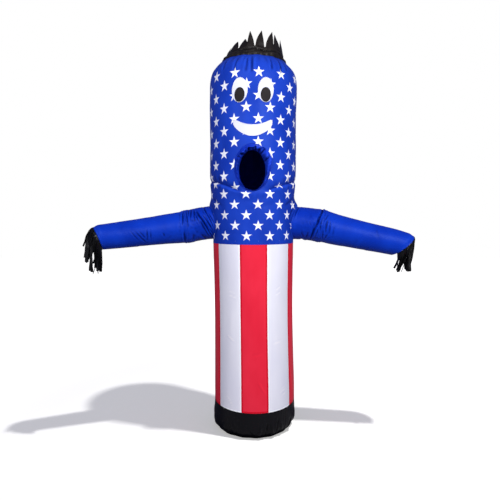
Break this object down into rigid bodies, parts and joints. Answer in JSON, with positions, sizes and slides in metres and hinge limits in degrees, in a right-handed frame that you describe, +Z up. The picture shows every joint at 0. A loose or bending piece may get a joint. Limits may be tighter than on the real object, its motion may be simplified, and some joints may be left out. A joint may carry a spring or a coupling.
{
  "type": "inflatable air dancer costume",
  "caption": "Tall hollow cloth tube with a domed top, star print above stripes, sewn eyes and smile, a face opening, spiky hair, sleeves with ribbon hands and a gathered skirt to stand on.",
  "frame": {"origin": "centre of the bottom of the part, on the ground inside the hem", "axes": "+Z up along the tube, -Y out of the front with the face, +X towards the viewer's right of the front"},
  "size_m": [1.8608, 0.5224, 2.257],
  "materials": {
    "star_cloth": "satin nylon, printed with white stars",
    "blue_cloth": "satin nylon",
    "red_cloth": "satin nylon",
    "white_cloth": "satin nylon",
    "black_cloth": "satin nylon"
  },
  "bodies": {
    "root": {"star_tube": "star_cloth", "crown_cap": "blue_cloth", "hair_band": "black_cloth", "face_hood": "blue_cloth", "eye_left": "white_cloth", "eye_right": "white_cloth", "pupil_left": "black_cloth", "pupil_right": "black_cloth", "mouth": "white_cloth", "upper_sleeve_left": "blue_cloth", "upper_sleeve_right": "blue_cloth", "forearm_left": "blue_cloth", "forearm_right": "blue_cloth", "hand_end_left": "blue_cloth", "hand_end_right": "blue_cloth", "hand_fringe_left": "black_cloth", "hand_fringe_right": "black_cloth", "red_panel_1": "red_cloth", "red_panel_2": "red_cloth", "red_panel_3": "red_cloth", "red_panel_4": "red_cloth", "red_panel_5": "red_cloth", "white_panel_1": "white_cloth", "white_panel_2": "white_cloth", "white_panel_3": "white_cloth", "white_panel_4": "white_cloth", "white_panel_5": "white_cloth", "hem_skirt": "black_cloth"}
  },
  "joints": []
}
